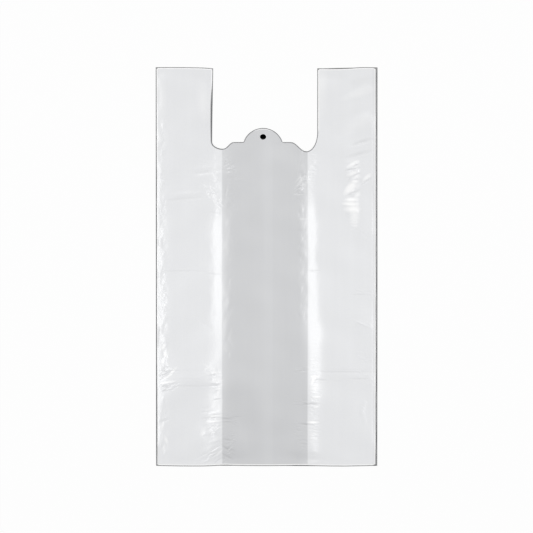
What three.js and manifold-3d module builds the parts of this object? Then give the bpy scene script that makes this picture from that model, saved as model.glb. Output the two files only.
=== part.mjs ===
// A vest-style carrier bag of thin plastic film, empty and lying flat on its back.
// Millimetres. X runs across the bag, +Y towards the handles, +Z up from the surface it lies on.
// The origin is on that surface, under the middle of the bag.

import * as THREE from 'three';
import { mergeVertices } from 'three/addons/utils/BufferGeometryUtils.js';
import Module from 'manifold-3d';

const wasm = await Module();
wasm.setup();

const { clamp, lerp, smoothstep } = THREE.MathUtils;

// Overall size
const faceWidth = 250;
const bagHeight = 450;

// How far each side is tucked in; the right fold lies a little deeper than the left
const leftGussetDepth = 75;
const rightGussetDepth = 79.5;

// Film wall. The real film is about 0.02 thick; it is drawn thicker here to be a solid.
const film = 0.4;

// Welds that close the bottom edge and the top of each handle, measured in from the edge
const bottomSeal = 4;
const handleSeal = 3;

// Handles, on the left and the right as seen from the front
const leftHandleWidth = 63.5;
const rightHandleWidth = 67.5;

// Mouth between the handles: a level shoulder each side of the tab, then a dip beside each handle.
// The dip and its round corner are a little deeper on the right, as the punch left them.
const shoulderDepth = 84.5;
const shoulderHalfWidth = 33;
const leftDip = { depth: 8.4, toHandle: 12.3, cornerRise: 8.2 };
const rightDip = { depth: 10.6, toHandle: 12.3, cornerRise: 22 };

// Tab in the middle of the mouth, and its hang hole
const tabShift = -1.9;
const tabRadius = 21.8;
const tabRise = 16;
const tabFootRound = 2.5;
const holeRadius = 3.25;
const holeBelowTabTop = 10;

// How far the layers stand apart, as the sum of the gaps between them. The middle stands up on the
// springy folds of the gussets, with a low ridge over each fold and a short bank down to the sides.
const sealGap = 0.6;
const outerFoldGap = 0.8;
const sideGap = 2.6;
const middleGap = 5.6;
const ridgeGap = 1;
const ridgeHalfWidth = 9;
const bankWidth = 15;
const bottomSlope = 55;
const handleSlope = 90;

// Shares of that sum behind the gusset, inside its fold, and in front of it
const gapShares = [0.2, 0.5, 0.3];

// Roundness of the folds, seen along the bag
const gussetFoldRound = 2.2;
const outerFoldRound = 0.5;

// Arms of the mouth's curves, as shares of their reach: a round quarter, and the rise to the shoulder
const cornerArm = 0.55;
const riseArm = 0.4;

// Fineness of the mesh. Places along a gusset crowd towards its inner fold by the power given.
const handleSlopeSteps = 7;
const middleLengthSteps = 4;
const bottomSlopeSteps = 5;
const gussetSteps = 8;
const crowding = 1.5;
const middleSteps = 8;
const foldSteps = 4;
const curveSteps = 8;
const tabSteps = 16;
const holeSides = 24;

const halfWidth = faceWidth / 2;
const halfHeight = bagHeight / 2;

// Cutting shapes run this far past the bag
const beyond = 10;

// Levels of the flat stack, from the surface up: back, gusset back, gusset front, front
const flatGap = film;
const backTop = film;
const gussetBackBottom = backTop + flatGap;
const gussetBackTop = gussetBackBottom + film;
const gussetFrontBottom = gussetBackTop + flatGap;
const gussetFrontTop = gussetFrontBottom + film;
const frontBottom = gussetFrontTop + flatGap;
const frontTop = frontBottom + film;

// Sum of the gaps between the layers at a place on the bag
function openGap(x, y) {
  const gussetDepth = x < 0 ? leftGussetDepth : rightGussetDepth;
  const fromSide = halfWidth - Math.abs(x);
  const pastFold = fromSide - gussetDepth;
  const side = lerp(outerFoldGap, sideGap, smoothstep(fromSide, 0, gussetDepth));
  const bank = smoothstep(pastFold, -bankWidth, 0);
  const ridge = ridgeGap * Math.exp(-((pastFold / ridgeHalfWidth) ** 2));
  const full = lerp(side, middleGap, bank) + ridge;
  const fromBottom = halfHeight + y - bottomSeal;
  const fromTop = halfHeight - y - handleSeal;
  const freedom = smoothstep(fromBottom, 0, bottomSlope) * smoothstep(fromTop, 0, handleSlope);
  return lerp(sealGap, full, freedom);
}

// Height of a point of the flat stack once the layers have sprung apart.
// Each gap grows from flatGap to its share, and the film keeps its thickness.
function relaxedHeight(x, y, flatHeight) {
  const gap = openGap(x, y);
  const floors = [backTop, gussetBackTop, gussetFrontTop];
  let height = flatHeight;
  floors.forEach((floor, index) => {
    const passed = clamp((flatHeight - floor) / flatGap, 0, 1);
    height += passed * (gapShares[index] * gap - flatGap);
  });
  return height;
}

// Evenly spaced values from one number to another, both included
function evenSteps(from, to, steps) {
  return Array.from({ length: steps + 1 }, (_, index) => lerp(from, to, index / steps));
}

// Points of a half ellipse between two levels, bulging towards the side that the sign gives
function foldPoints(tipX, sign, round, lowLevel, highLevel) {
  const middle = (lowLevel + highLevel) / 2;
  const rise = (highLevel - lowLevel) / 2;
  return evenSteps(-Math.PI / 2, Math.PI / 2, foldSteps).map((angle) => new THREE.Vector2(
    tipX - sign * round * (1 - Math.cos(angle)),
    middle + rise * Math.sin(angle),
  ));
}

// Places along a gusset on the right, from its inner fold outwards, closer together near that fold
function gussetPlaces(gussetDepth) {
  const inner = halfWidth - gussetDepth + gussetFoldRound;
  const outer = halfWidth - film - outerFoldRound;
  return evenSteps(0, 1, gussetSteps).map((part) => lerp(inner, outer, part ** crowding));
}

// Places across the front where it bends, from right to left
function frontPlaces() {
  const right = gussetPlaces(rightGussetDepth).reverse();
  const left = gussetPlaces(leftGussetDepth).map((x) => -x);
  const middle = evenSteps(right.at(-1), left[0], middleSteps).slice(1, -1);
  return [...right, ...middle, ...left];
}

function level(places, height) {
  return places.map((x) => new THREE.Vector2(x, height));
}

function mirrored(points) {
  return points.map((point) => new THREE.Vector2(-point.x, point.y)).reverse();
}

// Outside of the flat stack, without the tucked-in folds
function sheathOutline() {
  const rightSide = [
    ...foldPoints(halfWidth, 1, outerFoldRound, 0, gussetBackTop).slice(0, foldSteps / 2 + 1),
    ...foldPoints(halfWidth, 1, outerFoldRound, gussetFrontBottom, frontTop).slice(foldSteps / 2),
  ];
  return [...rightSide, ...level(frontPlaces(), frontTop), ...mirrored(rightSide)];
}

// One side of the inside of the bag, drawn on the right: the pocket behind the gusset, the way
// round its inner fold, and the pocket in front of it
function pocketPoints(gussetDepth) {
  const pocketX = halfWidth - film;
  const places = gussetPlaces(gussetDepth).slice(1, -1);
  return [
    ...foldPoints(pocketX, 1, outerFoldRound, backTop, gussetBackBottom),
    ...level(places.toReversed(), gussetBackBottom),
    ...foldPoints(halfWidth - gussetDepth, -1, gussetFoldRound, gussetBackBottom, gussetFrontTop),
    ...level(places, gussetFrontTop),
    ...foldPoints(pocketX, 1, outerFoldRound, gussetFrontTop, frontBottom),
  ];
}

function insideOutline() {
  return [
    ...pocketPoints(rightGussetDepth),
    ...level(frontPlaces().slice(1, -1), frontBottom),
    ...mirrored(pocketPoints(leftGussetDepth)),
  ];
}

// The space in a gusset's own fold, drawn on the right, open to the outside between its two layers
function grooveOutline(gussetDepth) {
  const places = [...gussetPlaces(gussetDepth).slice(1), halfWidth + beyond];
  const foldX = halfWidth - gussetDepth + film;
  return [
    ...foldPoints(foldX, -1, gussetFoldRound - film, gussetBackTop, gussetFrontBottom).reverse(),
    ...level(places, gussetBackTop),
    ...level(places.toReversed(), gussetFrontBottom),
  ];
}

// A closed body as a solid that can be joined and cut
function solidOf(geometry) {
  geometry.deleteAttribute('normal');
  geometry.deleteAttribute('uv');
  const merged = mergeVertices(geometry);
  return new wasm.Manifold(new wasm.Mesh({
    numProp: 3,
    vertProperties: merged.attributes.position.array,
    triVerts: Uint32Array.from(merged.index.array),
  }));
}

// A section in X and height, carried down the bag through the given Y places and sprung apart
function runDownBag(outline, places) {
  const steps = places.length - 1;
  const geometry = new THREE.ExtrudeGeometry(new THREE.Shape(outline), {
    depth: steps,
    steps,
    bevelEnabled: false,
  });
  geometry.rotateX(Math.PI / 2);
  const position = geometry.attributes.position;
  for (let index = 0; index < position.count; index += 1) {
    const x = position.getX(index);
    const y = places[Math.round(-position.getY(index))];
    position.setXYZ(index, x, y, relaxedHeight(x, y, position.getZ(index)));
  }
  return solidOf(geometry);
}

// One side of the mouth's edge, from the handle to the shoulder: the round corner, the dip and
// the rise to the level shoulder. The side is -1 on the left and 1 on the right.
function dipCurves(side, handleX, shoulderX, shoulderY, dip) {
  const lowX = handleX - side * dip.toHandle;
  const lowY = shoulderY - dip.depth;
  const corner = new THREE.CubicBezierCurve(
    new THREE.Vector2(handleX, lowY + dip.cornerRise),
    new THREE.Vector2(handleX, lowY + (1 - cornerArm) * dip.cornerRise),
    new THREE.Vector2(lowX + side * cornerArm * dip.toHandle, lowY),
    new THREE.Vector2(lowX, lowY),
  );
  const reach = Math.abs(lowX - shoulderX) * riseArm;
  const rise = new THREE.CubicBezierCurve(
    new THREE.Vector2(lowX, lowY),
    new THREE.Vector2(lowX - side * reach, lowY),
    new THREE.Vector2(shoulderX + side * reach, shoulderY),
    new THREE.Vector2(shoulderX, shoulderY),
  );
  return [...corner.getPoints(curveSteps), ...rise.getPoints(curveSteps).slice(1)];
}

// The tab's edge, from its left foot over the top to its right foot
function tabPoints(tabX, shoulderY) {
  const centreY = shoulderY + tabRise - tabRadius;
  const footY = shoulderY + tabFootRound;
  const footAngle = Math.asin((footY - centreY) / tabRadius);
  const arc = evenSteps(Math.PI - footAngle, footAngle, tabSteps).map((angle) => new THREE.Vector2(
    tabX + tabRadius * Math.cos(angle),
    centreY + tabRadius * Math.sin(angle),
  ));
  const footX = arc[0].x - tabFootRound;
  const foot = new THREE.QuadraticBezierCurve(
    new THREE.Vector2(footX, shoulderY),
    new THREE.Vector2(arc[0].x, shoulderY),
    arc[0],
  );
  const leftFoot = foot.getPoints(foldSteps).slice(0, -1);
  const rightFoot = leftFoot.map((point) => new THREE.Vector2(2 * tabX - point.x, point.y)).reverse();
  return [...leftFoot, ...arc, ...rightFoot];
}

// What is punched out between the handles
function mouthCut(tabX, shoulderY) {
  const topY = halfHeight + beyond;
  const leftX = -halfWidth + leftHandleWidth;
  const rightX = halfWidth - rightHandleWidth;
  const outline = [
    new THREE.Vector2(leftX, topY),
    ...dipCurves(-1, leftX, tabX - shoulderHalfWidth, shoulderY, leftDip),
    ...tabPoints(tabX, shoulderY),
    ...dipCurves(1, rightX, tabX + shoulderHalfWidth, shoulderY, rightDip).reverse(),
    new THREE.Vector2(rightX, topY),
  ];
  const depth = 2 * beyond + frontTop + middleGap + ridgeGap;
  const geometry = new THREE.ExtrudeGeometry(new THREE.Shape(outline), { depth, bevelEnabled: false });
  geometry.translate(0, 0, -beyond);
  return solidOf(geometry);
}

function hangHole(tabX, shoulderY) {
  const length = 2 * (beyond + frontTop + middleGap + ridgeGap);
  const geometry = new THREE.CylinderGeometry(holeRadius, holeRadius, length, holeSides);
  geometry.rotateX(Math.PI / 2);
  geometry.translate(tabX, shoulderY + tabRise - holeBelowTabTop, 0);
  return solidOf(geometry);
}

function carrierBag() {
  const openTop = halfHeight - handleSeal;
  const openBottom = -halfHeight + bottomSeal;
  const openPlaces = [
    ...evenSteps(openTop, openTop - handleSlope, handleSlopeSteps),
    ...evenSteps(openTop - handleSlope, openBottom + bottomSlope, middleLengthSteps).slice(1, -1),
    ...evenSteps(openBottom + bottomSlope, openBottom, bottomSlopeSteps),
  ];
  const tabX = (leftHandleWidth - rightHandleWidth) / 2 + tabShift;
  const shoulderY = halfHeight - shoulderDepth;
  return runDownBag(sheathOutline(), [halfHeight, ...openPlaces, -halfHeight])
    .subtract(runDownBag(insideOutline(), openPlaces))
    .subtract(runDownBag(grooveOutline(rightGussetDepth), openPlaces))
    .subtract(runDownBag(mirrored(grooveOutline(leftGussetDepth)), openPlaces))
    .subtract(mouthCut(tabX, shoulderY))
    .subtract(hangHole(tabX, shoulderY));
}

function meshOf(manifold, name, material) {
  const cut = manifold.getMesh();
  const geometry = new THREE.BufferGeometry();
  geometry.setAttribute('position', new THREE.BufferAttribute(cut.vertProperties, 3));
  geometry.setIndex(new THREE.BufferAttribute(cut.triVerts, 1));
  geometry.computeVertexNormals();
  const mesh = new THREE.Mesh(geometry, material);
  mesh.name = name;
  return mesh;
}

const whiteFilm = new THREE.MeshStandardMaterial({ color: '#dcdddf', roughness: 0.35, metalness: 0 });

const bag = new THREE.Group();
bag.add(meshOf(carrierBag(), 'carrier_bag', whiteFilm));

export default bag;
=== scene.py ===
"""A vest-style carrier bag of thin blown film, lying flat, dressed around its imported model.

The bag is made as a real one is: a tube of film is laid flat with its sides tucked in, welded
across the bottom and the handle tops, punched out at the mouth, and then springs up a little and
takes its creases. Sizes are in millimetres unless a name says otherwise.
"""

import math

import bpy
import numpy as np
from bpy.props import FloatProperty, FloatVectorProperty, PointerProperty
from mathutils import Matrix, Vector, noise


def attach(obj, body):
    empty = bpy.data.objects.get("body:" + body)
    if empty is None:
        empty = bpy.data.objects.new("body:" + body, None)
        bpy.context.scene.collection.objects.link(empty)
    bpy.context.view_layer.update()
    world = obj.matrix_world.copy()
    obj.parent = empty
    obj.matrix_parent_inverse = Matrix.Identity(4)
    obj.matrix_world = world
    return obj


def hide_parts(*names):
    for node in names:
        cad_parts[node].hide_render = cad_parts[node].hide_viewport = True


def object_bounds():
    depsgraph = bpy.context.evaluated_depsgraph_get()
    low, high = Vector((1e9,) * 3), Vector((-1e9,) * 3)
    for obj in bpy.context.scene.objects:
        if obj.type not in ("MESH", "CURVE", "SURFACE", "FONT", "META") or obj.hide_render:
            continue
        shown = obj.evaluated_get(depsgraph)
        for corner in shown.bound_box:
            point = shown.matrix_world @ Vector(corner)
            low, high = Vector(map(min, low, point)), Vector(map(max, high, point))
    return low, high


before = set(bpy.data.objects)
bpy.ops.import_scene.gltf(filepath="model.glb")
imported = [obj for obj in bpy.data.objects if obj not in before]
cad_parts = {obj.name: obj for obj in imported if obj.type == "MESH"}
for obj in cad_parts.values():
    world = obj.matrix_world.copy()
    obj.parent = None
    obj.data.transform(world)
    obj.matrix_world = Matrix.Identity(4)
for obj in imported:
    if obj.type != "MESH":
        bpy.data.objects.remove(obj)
CAD_LOW, CAD_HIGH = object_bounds()

bl_info = {
    "name": "Film carrier bag",
    "version": (1, 0, 0),
    "blender": (4, 5, 0),
    "location": "View3D > Sidebar > Carrier Bag",
    "description": "Builds a gusseted vest-style carrier bag of blown film and the table it lies on",
    "category": "Object",
}

MM = 0.001
NODE = "carrier_bag"
PIECE = "film_bag"

# Outline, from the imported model
HALF_WIDTH = (CAD_HIGH.x - CAD_LOW.x) / 2 / MM
HALF_HEIGHT = (CAD_HIGH.y - CAD_LOW.y) / 2 / MM
MIDDLE_X = (CAD_HIGH.x + CAD_LOW.x) / 2 / MM
MIDDLE_Y = (CAD_HIGH.y + CAD_LOW.y) / 2 / MM

# How the flat tube's layers are stacked before they spring apart
FLAT_GAP = 0.75
LAYERS = 4
OUTER_FOLD_ROUND = 0.45
GUSSET_FOLD_ROUND = 2.2
FOLD_STEPS = 4

# Fineness of the film's grid
ROW_PITCH = 2.1
FINE_ROW_PITCH = 1.3
EDGE_PITCH = 0.9
EDGE_REACH = 7.0
FINE_PITCH = 1.4
PLAIN_PITCH = 3.0
HIDDEN_PITCH = 11.0
FINE_REACH = 15.0

# Points closer together than this are merged, and flatter joints than this many degrees look smooth
MERGE_WITHIN = 0.01
SMOOTH_ANGLE = 50

# Where the film was gripped on its right side, and is creased in small facets
GRIP_LOW = (86.0, 56.0)
GRIP_HIGH = (110.0, 120.0)
GRIP_PITCH = 1.6


def linear(hex_colour):
    """Turns an sRGB hex colour to the linear values that Blender's sockets hold."""
    channels = [int(hex_colour[place:place + 2], 16) / 255 for place in (1, 3, 5)]
    return tuple(c / 12.92 if c <= 0.04045 else ((c + 0.055) / 1.055) ** 2.4 for c in channels)


def length(name, description, default, low=0.0, high=1.0):
    return FloatProperty(
        name=name, description=description, default=default, min=low, max=high,
        unit="LENGTH", subtype="DISTANCE", precision=4,
    )


def colour(name, description, hex_colour):
    return FloatVectorProperty(
        name=name, description=description, default=linear(hex_colour), min=0, max=1,
        subtype="COLOR", size=3,
    )


class FilmBagSizes(bpy.types.PropertyGroup):
    wall: length("Film wall", "Thickness of the film, more than the real one's to be a solid", 0.25 * MM)
    left_gusset: length("Left tuck", "How far the left side is tucked in", 75 * MM)
    right_gusset: length("Right tuck", "How far the right side is tucked in", 78.6 * MM)
    bottom_weld: length("Bottom weld", "Width of the weld along the bottom edge", 4 * MM)
    handle_weld: length("Handle weld", "Width of the weld across the top of a handle", 3 * MM)
    left_handle: length("Left handle", "Width of the left handle", 63.5 * MM)
    right_handle: length("Right handle", "Width of the right handle", 67.5 * MM)
    shoulder_depth: length("Shoulder depth", "From the handle tops down to the level shoulders", 84.5 * MM)
    shoulder_half: length("Shoulder reach", "From the tab's middle to a shoulder's outer end", 33 * MM)
    tab_shift: length("Tab shift", "How far the tab sits right of the handles' middle", -1.9 * MM, -0.1)
    tab_radius: length("Tab radius", "Radius of the rounded tab", 23.2 * MM)
    tab_rise: length("Tab rise", "How far the tab stands above the shoulders", 16 * MM)
    hole_radius: length("Hang hole radius", "Radius of the punched hang hole", 3.25 * MM)
    hole_drop: length("Hang hole drop", "From the tab's top down to the hole's middle", 10 * MM)


class FilmBagColours(bpy.types.PropertyGroup):
    four_layers: colour("Four layers", "Whitish film where four layers lie together", "#E7E8EA")
    two_layers: colour("Two layers", "Greyer film where only two layers lie together", "#CBCCCE")
    # Painted shade: the dark line painted along the folds, welds and cuts
    rim_shade: colour("Rim", "Film seen edge-on along folds, welds and cuts", "#3A3B3E")
    # Painted highlight: the light line inside the outline, partly the pressed welds; also the white of crease
    # whitening and painted highlights
    pressed_and_highlight: colour("Pressed film", "Film whitened by a crease or pressed in beside an edge", "#FDFDFD")


class FilmBagStage(bpy.types.PropertyGroup):
    view_width: length("View width", "Width of the surface that the picture shows", 602.8 * MM, 0.01, 10)
    camera_height: length("Camera height", "Height of the camera above the surface", 3.0, 0.1, 20)
    lamp_radiance: FloatProperty(
        name="Softbox radiance", description="Brightness of each softbox's face", default=6.2, min=0, max=50,
    )
    fill: FloatProperty(name="Fill", description="Brightness of the room around", default=0.255, min=0, max=5)


def mm(value):
    """A length property's value in millimetres."""
    return value / MM


def smooth(value, low, high):
    """A soft step from 0 at one value to 1 at another."""
    t = np.clip((value - low) / (high - low), 0, 1)
    return t * t * (3 - 2 * t)


def bezier(points, steps):
    """Points along a cubic or quadratic curve, both ends included."""
    t = np.linspace(0, 1, steps + 1)[:, None]
    layers = [np.array(p, float) for p in points]
    while len(layers) > 1:
        layers = [(1 - t) * a + t * b for a, b in zip(layers, layers[1:])]
    return layers[0]


# Mouth: how far the arms of its curves reach, how round the tab's foot is, and the dips' sizes

CORNER_ARM = 0.55
RISE_ARM = 0.4
TAB_FOOT = 2.5
FOOT_STEPS = 5
CURVE_STEPS = 14
DIPS = {-1: {"depth": 7.5, "to_handle": 12.3, "corner_rise": 8.2, "short": 0.0},
        1: {"depth": 10.4, "to_handle": 12.3, "corner_rise": 22.0, "short": 1.8}}


def dip_curve(side, handle_x, shoulder_x, shoulder_y):
    """The mouth's edge from a handle through the dip up to the level shoulder."""
    dip = DIPS[side]
    low_x = handle_x - side * dip["to_handle"]
    low_y = shoulder_y - dip["depth"]
    shoulder_x = shoulder_x - side * dip["short"]
    corner = bezier([
        (handle_x, low_y + dip["corner_rise"]),
        (handle_x, low_y + (1 - CORNER_ARM) * dip["corner_rise"]),
        (low_x + side * CORNER_ARM * dip["to_handle"], low_y),
        (low_x, low_y),
    ], CURVE_STEPS)
    reach = abs(low_x - shoulder_x) * RISE_ARM
    rise = bezier([
        (low_x, low_y),
        (low_x - side * reach, low_y),
        (shoulder_x + side * reach, shoulder_y),
        (shoulder_x, shoulder_y),
    ], CURVE_STEPS)
    return np.concatenate([corner, rise[1:]])


def tab_curve(tab_x, shoulder_y, radius, rise):
    """The tab's edge, from its left foot over the top to its right foot."""
    centre_y = shoulder_y + rise - radius
    foot_angle = math.asin((shoulder_y + TAB_FOOT - centre_y) / radius)
    angles = np.linspace(math.pi - foot_angle, foot_angle, 3 * CURVE_STEPS)
    arc = np.stack([tab_x + radius * np.cos(angles), centre_y + radius * np.sin(angles)], axis=1)
    foot = bezier([(arc[0, 0] - TAB_FOOT, shoulder_y), (arc[0, 0], shoulder_y), arc[0]], FOOT_STEPS)[:-1]
    far_foot = foot[::-1] * (-1, 1) + (2 * tab_x, 0)
    return np.concatenate([foot, arc, far_foot])


def tab_middle(sizes):
    return (mm(sizes.left_handle) - mm(sizes.right_handle)) / 2 + mm(sizes.tab_shift)


def mouth_outline(sizes, above):
    """What is punched out between the handles, as points in order from the top left."""
    top_y = HALF_HEIGHT + above
    left_x = -HALF_WIDTH + mm(sizes.left_handle)
    right_x = HALF_WIDTH - mm(sizes.right_handle)
    shoulder_y = HALF_HEIGHT - mm(sizes.shoulder_depth)
    tab_x = tab_middle(sizes)
    reach = mm(sizes.shoulder_half)
    return np.concatenate([
        [(left_x, top_y)],
        dip_curve(-1, left_x, tab_x - reach, shoulder_y),
        tab_curve(tab_x, shoulder_y, mm(sizes.tab_radius), mm(sizes.tab_rise)),
        dip_curve(1, right_x, tab_x + reach, shoulder_y)[::-1],
        [(right_x, top_y)],
    ])


def hole_middle(sizes):
    shoulder_y = HALF_HEIGHT - mm(sizes.shoulder_depth)
    return tab_middle(sizes), shoulder_y + mm(sizes.tab_rise) - mm(sizes.hole_drop)


HOLE_SIDES = 40
HOLE_STRETCH = (1.1, 0.97)


def hole_outline(sizes):
    """The hang hole, pulled slightly wider than round by the punch."""
    angles = np.linspace(0, 2 * math.pi, HOLE_SIDES, endpoint=False)
    ring = np.stack([np.cos(angles), np.sin(angles)], axis=1)
    return ring * mm(sizes.hole_radius) * HOLE_STRETCH + hole_middle(sizes)


# Relief of the film: how far the layers stand apart, as the sum of the gaps between them

WELD_GAP = 0.3
OUTER_FOLD_GAP = 0.7
SIDE_GAP = 1.9
SIDE_CURVE = 1.5
BOTTOM_SLOPE = 100.0
HANDLE_SLOPE = (45.0, 145.0)
GAP_SHARES = (0.2, 0.5, 0.3)
LEAST_GAP = 0.15
# Across this middle strip the left side's relief gives way to the right side's
SIDES_MEET = (-40.0, 36.0)

# The film banks up beside each tuck's fold, as a slope over a broad foot. Rows from the mouth down:
# place along the bag, the slope's middle past the fold, how far it reaches and how steep it is.
BANKS = {
    -1: (
        (150, -6, 4, 0.09), (126, -6, 4, 0.08), (109, -7.5, 8, 0.065), (92, -7, 9, 0.05),
        (75, -6, 9, 0.065), (58, -6.2, 9, 0.08), (41, -6.6, 6.6, 0.115), (24, -6.6, 6.6, 0.12),
        (7, -6.2, 6.5, 0.12),
        (-10, -5.8, 6.2, 0.12), (-27, -5.7, 6.2, 0.12), (-44, -5.7, 7, 0.11), (-61, -7, 11, 0.08),
        (-78, -7, 13, 0.075), (-95, -7, 12, 0.085), (-112, -8, 11, 0.1), (-129, -8, 12, 0.1),
        (-146, -7.5, 12, 0.105), (-163, -9, 11, 0.105), (-180, -12, 10, 0.105), (-205, -15, 7.5, 0.11),
        (-225, -15, 4.5, 0.12),
    ),
    1: (
        (150, -6.5, 4, 0.09), (126, -6.5, 4, 0.09), (109, -4.5, 4.2, 0.1), (92, -4.2, 4.6, 0.095),
        (75, -4.8, 5, 0.1), (58, -5.8, 5, 0.115), (7, -6, 4.6, 0.115), (-10, -6.7, 5.6, 0.12),
        (-27, -7.2, 6.6, 0.12), (-44, -7.5, 7.2, 0.125), (-61, -8.6, 8, 0.14), (-78, -10, 9, 0.155),
        (-95, -9.8, 8.8, 0.16),
        (-112, -9, 7.6, 0.15), (-128, -8.6, 7.4, 0.14), (-145, -9, 7.5, 0.125), (-162, -9, 7.5, 0.12),
        (-180, -9, 7.5, 0.115), (-205, -9, 6, 0.115), (-225, -9, 3.8, 0.12),
    ),
}
# The broad foot: its middle past the slope's, its reach on each side, and its slope along the bag
FOOT_SHIFT = 5.0
FOOT_REACH = {-1: 9.0, 1: 8.5}
FOOT_SLOPE = {
    -1: ((150, 0.03), (109, 0.035), (92, 0.03), (58, 0.055), (30, 0.075), (-30, 0.075), (-70, 0.055),
         (-110, 0.05), (-160, 0.04), (-200, 0.015), (-225, 0.0)),
    1: ((150, 0.035), (92, 0.05), (58, 0.075), (-30, 0.075), (-65, 0.055), (-110, 0.04), (-145, 0.02),
        (-200, 0.01), (-225, 0.0)),
}
# How soon above the bottom weld the bank stands up, beside the fold and in the bag's middle, and
# between which distances past the fold the one gives way to the other
BANK_TO_WELD = (14.0, 75.0)
BANK_SINKS = (2.0, 40.0)
# The bank's waver along the bag: waves in a millimetre, start and size
WAVES = ((0.021, 0.3, 0.35), (0.012, 2.1, 0.45))

# The film rolls up beside each outer fold: place along the bag, slope at the fold and reach
ROLLS = {
    -1: (
        (225, 0.2, 4), (180, 0.2, 5), (110, 0.22, 4.5), (75, 0.27, 5), (40, 0.33, 4.5), (10, 0.3, 5),
        (-20, 0.3, 7), (-75, 0.3, 6.5), (-105, 0.28, 8), (-130, 0.25, 11), (-155, 0.2, 6), (-190, 0.18, 5),
        (-225, 0.15, 5),
    ),
    1: ((225, 0.06, 5), (-225, 0.06, 5)),
}
# Where the roll starts in from the side, and how soon it stands up beside the bottom and top welds
ROLL_START = 0.5
ROLL_TO_WELD = (25.0, 75.0)
# The lip pressed along the right side: where it rises and how high, and the dip that follows it
LIP_EDGE = (0.4, 2.6)
LIP_RISE = 0.27
LIP_DIP = 0.14
LIP_DIP_PLACE = 4.3
LIP_DIP_WIDTH = 0.9


def along(y, stops):
    """A value that follows the given (y, value) stops along the bag, without corners."""
    places, values = np.array(sorted(stops), float).T
    slopes = np.gradient(values, places)
    number = np.clip(np.searchsorted(places, y) - 1, 0, len(places) - 2)
    run = places[number + 1] - places[number]
    t = np.clip((y - places[number]) / run, 0, 1)
    start = values[number] * (1 + 2 * t) + run * slopes[number] * t
    end = values[number + 1] * (3 - 2 * t) - run * slopes[number + 1] * (1 - t)
    return start * (1 - t) ** 2 + end * t ** 2


def columns_along(y, rows):
    """Each column of rows of (y, value, value ...) followed along the bag."""
    return [along(y, [(row[0], row[column]) for row in rows]) for column in range(1, len(rows[0]))]


def bank(side, past_fold, y):
    """Height of the slope beside a tuck's fold, with its broad foot."""
    waver = sum(size * np.sin(2 * math.pi * y * pace + start + side) for pace, start, size in WAVES)
    middle, reach, slope = columns_along(y, BANKS[side])
    middle = middle + waver
    foot_reach = FOOT_REACH[side]
    foot = along(y, FOOT_SLOPE[side]) * foot_reach
    foot = foot * (1 + np.tanh((past_fold - middle - FOOT_SHIFT) / foot_reach))
    return slope * reach * (1 + np.tanh((past_fold - middle) / reach)) + foot


def roll(side, from_side, y):
    """Height by which the film rolls up beside an outer fold, with the lip along the right one."""
    slope, reach = columns_along(y, ROLLS[side])
    height = slope * reach * (1 - np.exp(-np.maximum(from_side - ROLL_START, 0) / reach))
    if side > 0:
        dip = np.exp(-((from_side - LIP_DIP_PLACE) / LIP_DIP_WIDTH) ** 2)
        height += LIP_RISE * smooth(from_side, *LIP_EDGE) - LIP_DIP * dip
    return height


def half_relief(side, gusset, x, y, freedoms):
    """Sum of the gaps between the layers on one side of the bag."""
    from_bottom, plain_freedom, roll_freedom, top_freedom = freedoms
    from_side = HALF_WIDTH - side * x
    past_fold = from_side - gusset
    plain = OUTER_FOLD_GAP + (SIDE_GAP - OUTER_FOLD_GAP) * np.clip(from_side / gusset, 0, 1) ** SIDE_CURVE
    beside, inside = (smooth(from_bottom, 0, reach) for reach in BANK_TO_WELD)
    bank_freedom = beside + (inside - beside) * smooth(past_fold, *BANK_SINKS)
    return (WELD_GAP + (plain - WELD_GAP) * plain_freedom + roll(side, from_side, y) * roll_freedom
            + bank(side, past_fold, y) * bank_freedom * top_freedom)


def relief(x, y, sizes):
    """Sum of the gaps between the layers at a place on the bag."""
    from_bottom = HALF_HEIGHT + y - mm(sizes.bottom_weld)
    from_top = HALF_HEIGHT - y - mm(sizes.handle_weld)
    top_freedom = smooth(from_top, *HANDLE_SLOPE)
    plain_freedom = smooth(from_bottom, 0, BOTTOM_SLOPE) * top_freedom
    roll_freedom = smooth(from_bottom, 0, ROLL_TO_WELD[0]) * smooth(from_top, 0, ROLL_TO_WELD[1])
    freedoms = (from_bottom, plain_freedom, roll_freedom, top_freedom)
    left = half_relief(-1, mm(sizes.left_gusset), x, y, freedoms)
    right = half_relief(1, mm(sizes.right_gusset), x, y, freedoms)
    return np.maximum(left + (right - left) * smooth(x, *SIDES_MEET), LEAST_GAP)


# Creases and soft folds of the front layer: start, end, half width and height
CREASES = (
    (88, 131, 118, 139, 6, 0.12), (100, 211, 116, 216, 5, 0.2), (96, 193, 115, 201, 6, 0.25),
    (84, 157, 112, 167, 9, 0.3), (103, -63, 116, -67, 3.5, 0.18), (60, -119.3, 116, -119.3, 3, -0.09),
    (70, -124.5, 116, -123.5, 4, 0.08), (111, -154, 108, -164, 3, 0.16), (108, -164, 111, -175, 3, 0.16),
    (-117, 221, -117, 180, 4.5, 0.15), (-116, 162, -116, 158, 3.5, 0.3), (-80, 105, -52, 109, 3.5, -0.14),
    (-76, 101, -54, 104, 3.5, 0.14), (-108, 74.5, -74, 78.4, 3, -0.1), (-106, 79, -76, 83, 4, 0.1),
    (-70, 91, -57, 85, 3, 0.25), (-64, 83, -53, 72, 3.5, 0.3), (-81, -56, -64, -69, 4, 0.15),
    (-112, -128, -66, -128, 9, 0.2), (-118, -72, -113, -84, 4, 0.3), (-73, -181, -67, -192, 6, 0.2),
    (-60, -186, -55, -196, 4, 0.15), (-74, -221, -53, -207, 3.5, 0.25), (-63, -222, -52, -214, 3, 0.2),
    (-70, -209, -56, -200, 4, 0.2), (-66, -166.5, -51, -166.5, 3, 0.25),
    (-64, -174.5, -51, -174.5, 3, 0.2), (37, 88, 45, 100, 4, 0.35),
)

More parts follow.
